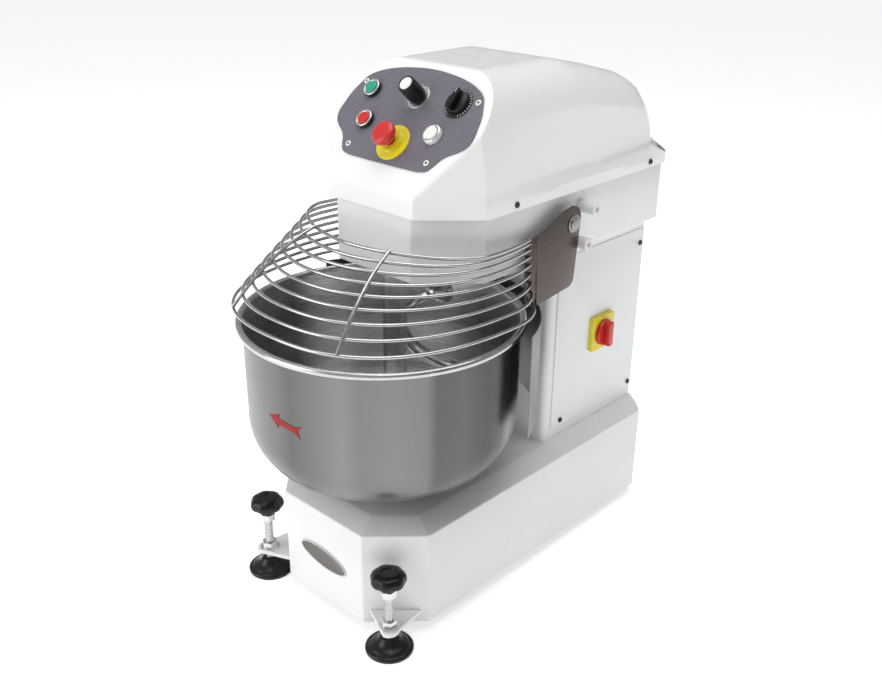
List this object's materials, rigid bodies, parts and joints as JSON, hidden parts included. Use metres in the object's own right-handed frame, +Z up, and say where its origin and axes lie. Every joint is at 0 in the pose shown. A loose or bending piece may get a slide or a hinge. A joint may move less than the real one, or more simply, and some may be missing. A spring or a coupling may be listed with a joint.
{
  "type": "commercial stand mixer",
  "caption": "Floor-standing spiral dough mixer with a turning stainless bowl, spiral tool, hinged wire guard, moulded hood with controls, and front screw feet.",
  "frame": {"origin": "centre of the bounding box's base, on the floor", "axes": "+Z up, +Y towards the column at the back, +X to the right seen from the front"},
  "size_m": [0.482, 0.799, 0.886],
  "materials": {
    "white_paint": "satin powder coat",
    "hood_shell": "glossy moulded cover",
    "panel_face": "printed weave film",
    "screws": "bright",
    "bezel": "satin",
    "yellow_plastic": "gloss",
    "dial_metal": "brushed",
    "white_plastic": "gloss",
    "dark_plastic": "matt",
    "satin_stainless": "brushed",
    "cast_housing": "as cast",
    "bearing_steel": "ground",
    "bar_stainless": "polished",
    "motor_paint": "enamel",
    "badge_metal": "polished",
    "zinc": "bright zinc",
    "belt_rubber": "matt",
    "green_plastic": "gloss",
    "red_plastic": "gloss",
    "black_plastic": "satin",
    "guard_wire": "polished",
    "dark_stainless": "mirror",
    "bowl_stainless": "brushed round",
    "arrow_red": "gloss",
    "shaft_steel": "ground",
    "frame_paint": "primer",
    "plate_steel": "plain",
    "spindle_knob": "gloss",
    "pad_rubber": "moulded",
    "wheel_rubber": "moulded"
  },
  "bodies": {
    "frame": {"base_casing": "white_paint", "base_frame": "frame_paint", "column_casing": "white_paint", "side_panels": "white_paint", "rear_cover": "white_paint", "head_casing": "white_paint", "head_plate": "plate_steel", "hood": "hood_shell", "control_panel": "panel_face", "casing_screws": "screws", "button_bezels": "bezel", "estop_collar": "yellow_plastic", "dial_scales": "dial_metal", "switch_plate": "yellow_plastic", "guard_stops": "white_plastic", "safety_switch": "dark_plastic", "rear_shield": "satin_stainless", "bowl_bearing_housing": "cast_housing", "spiral_bearing_housing": "cast_housing", "shaft_bearings": "bearing_steel", "breaker_bar": "bar_stainless", "motor": "motor_paint", "inverter": "dark_plastic", "cable_gland": "dark_plastic", "badge": "badge_metal", "foot_brackets": "white_paint", "foot_nuts": "zinc", "rear_axle": "zinc", "upper_belt": "belt_rubber", "lower_belt": "belt_rubber"},
    "start_button": {"start_button": "green_plastic"},
    "stop_button": {"stop_button": "red_plastic"},
    "jog_button": {"jog_button": "white_plastic"},
    "estop": {"estop_mushroom": "red_plastic"},
    "speed_knob": {"speed_knob": "black_plastic"},
    "timer_knob": {"timer_knob": "black_plastic"},
    "main_switch": {"switch_knob": "red_plastic"},
    "guard": {"guard_cage": "guard_wire", "guard_plate_right": "dark_stainless", "guard_plate_left": "dark_stainless", "guard_pivots": "zinc"},
    "bowl": {"bowl": "bowl_stainless", "rotation_arrow": "arrow_red", "bowl_shaft": "shaft_steel", "bowl_pulley": "cast_housing"},
    "spiral": {"spiral_tool": "bar_stainless", "spiral_shaft": "shaft_steel", "spiral_pulley": "cast_housing"},
    "drive": {"drive_shaft": "shaft_steel", "drive_pulleys": "cast_housing"},
    "foot_right": {"foot_pad_right": "pad_rubber"},
    "foot_left": {"foot_pad_left": "pad_rubber"},
    "spindle_right": {"foot_spindle_right": "spindle_knob"},
    "spindle_left": {"foot_spindle_left": "spindle_knob"},
    "wheel_right": {"rear_wheel_right": "wheel_rubber"},
    "wheel_left": {"rear_wheel_left": "wheel_rubber"},
    "fork_right": {"castor_fork_right": "zinc"},
    "fork_left": {"castor_fork_left": "zinc"},
    "roller_right": {"castor_wheel_right": "wheel_rubber"},
    "roller_left": {"castor_wheel_left": "wheel_rubber"}
  },
  "joints": [
    {"name": "start_press", "type": "slide", "parent": "frame", "child": "start_button", "axis": [0, 0.7448, -0.6673], "range_m": [0, 0.003], "stiffness_N_per_m": 400, "springref_m": -0.001},
    {"name": "stop_press", "type": "slide", "parent": "frame", "child": "stop_button", "axis": [0, 0.7448, -0.6673], "range_m": [0, 0.003], "stiffness_N_per_m": 400, "springref_m": -0.001},
    {"name": "jog_press", "type": "slide", "parent": "frame", "child": "jog_button", "axis": [0, 0.7448, -0.6673], "range_m": [0, 0.003], "stiffness_N_per_m": 400, "springref_m": -0.001},
    {"name": "estop_press", "type": "slide", "parent": "frame", "child": "estop", "axis": [0, 0.7448, -0.6673], "range_m": [0, 0.005]},
    {"name": "speed_turn", "type": "hinge", "parent": "frame", "child": "speed_knob", "pos_m": [0.003, -0.08177, 0.83952], "axis": [0, -0.7448, 0.6673], "range_deg": [-30, 240]},
    {"name": "timer_turn", "type": "hinge", "parent": "frame", "child": "timer_knob", "pos_m": [0.085, -0.08044, 0.84101], "axis": [0, -0.7448, 0.6673], "range_deg": [-300, 30]},
    {"name": "switch_turn", "type": "hinge", "parent": "frame", "child": "main_switch", "pos_m": [0.144, 0.2595, 0.384], "axis": [1, 0, 0], "range_deg": [-90, 0]},
    {"name": "guard_hinge", "type": "hinge", "parent": "frame", "child": "guard", "pos_m": [0, 0.0895, 0.641], "axis": [-1, 0, 0], "range_deg": [0, 90]},
    {"name": "bowl_spin", "type": "hinge", "parent": "frame", "child": "bowl", "pos_m": [0, -0.1645, 0.3], "axis": [0, 0, 1], "continuous": true},
    {"name": "drive_spin", "type": "hinge", "parent": "frame", "child": "drive", "pos_m": [0, 0.2405, 0.3], "axis": [0, 0, 1], "continuous": true},
    {"name": "spiral_spin", "type": "hinge", "parent": "frame", "child": "spiral", "pos_m": [0, -0.0305, 0.6], "axis": [0, 0, 1], "continuous": true},
    {"name": "foot_slide_right", "type": "slide", "parent": "frame", "child": "foot_right", "axis": [0, 0, 1], "range_m": [-0.02, 0]},
    {"name": "spindle_turn_right", "type": "hinge", "parent": "foot_right", "child": "spindle_right", "pos_m": [0.155, -0.3065, 0.06], "axis": [0, 0, 1], "range_deg": [-2880, 0]},
    {"name": "wheel_roll_right", "type": "hinge", "parent": "frame", "child": "wheel_right", "pos_m": [0.104, 0.3055, 0.045], "axis": [1, 0, 0], "continuous": true},
    {"name": "castor_swivel_right", "type": "hinge", "parent": "frame", "child": "fork_right", "pos_m": [0.118, -0.1945, 0.05], "axis": [0, 0, 1], "continuous": true},
    {"name": "castor_roll_right", "type": "hinge", "parent": "fork_right", "child": "roller_right", "pos_m": [0.118, -0.1785, 0.024], "axis": [1, 0, 0], "continuous": true},
    {"name": "foot_slide_left", "type": "slide", "parent": "frame", "child": "foot_left", "axis": [0, 0, 1], "range_m": [-0.02, 0]},
    {"name": "spindle_turn_left", "type": "hinge", "parent": "foot_left", "child": "spindle_left", "pos_m": [-0.155, -0.3065, 0.06], "axis": [0, 0, 1], "range_deg": [-2880, 0]},
    {"name": "wheel_roll_left", "type": "hinge", "parent": "frame", "child": "wheel_left", "pos_m": [-0.104, 0.3055, 0.045], "axis": [1, 0, 0], "continuous": true},
    {"name": "castor_swivel_left", "type": "hinge", "parent": "frame", "child": "fork_left", "pos_m": [-0.118, -0.1945, 0.05], "axis": [0, 0, 1], "continuous": true},
    {"name": "castor_roll_left", "type": "hinge", "parent": "fork_left", "child": "roller_left", "pos_m": [-0.118, -0.1785, 0.024], "axis": [1, 0, 0], "continuous": true}
  ],
  "couplings": [
    {"joint": "drive_spin", "follows": "bowl_spin", "ratio": 6},
    {"joint": "spiral_spin", "follows": "bowl_spin", "ratio": 4.8},
    {"joint": "spindle_turn_right", "follows": "foot_slide_right", "rad_per_m": 2513.3},
    {"joint": "spindle_turn_left", "follows": "foot_slide_left", "rad_per_m": 2513.3}
  ]
}
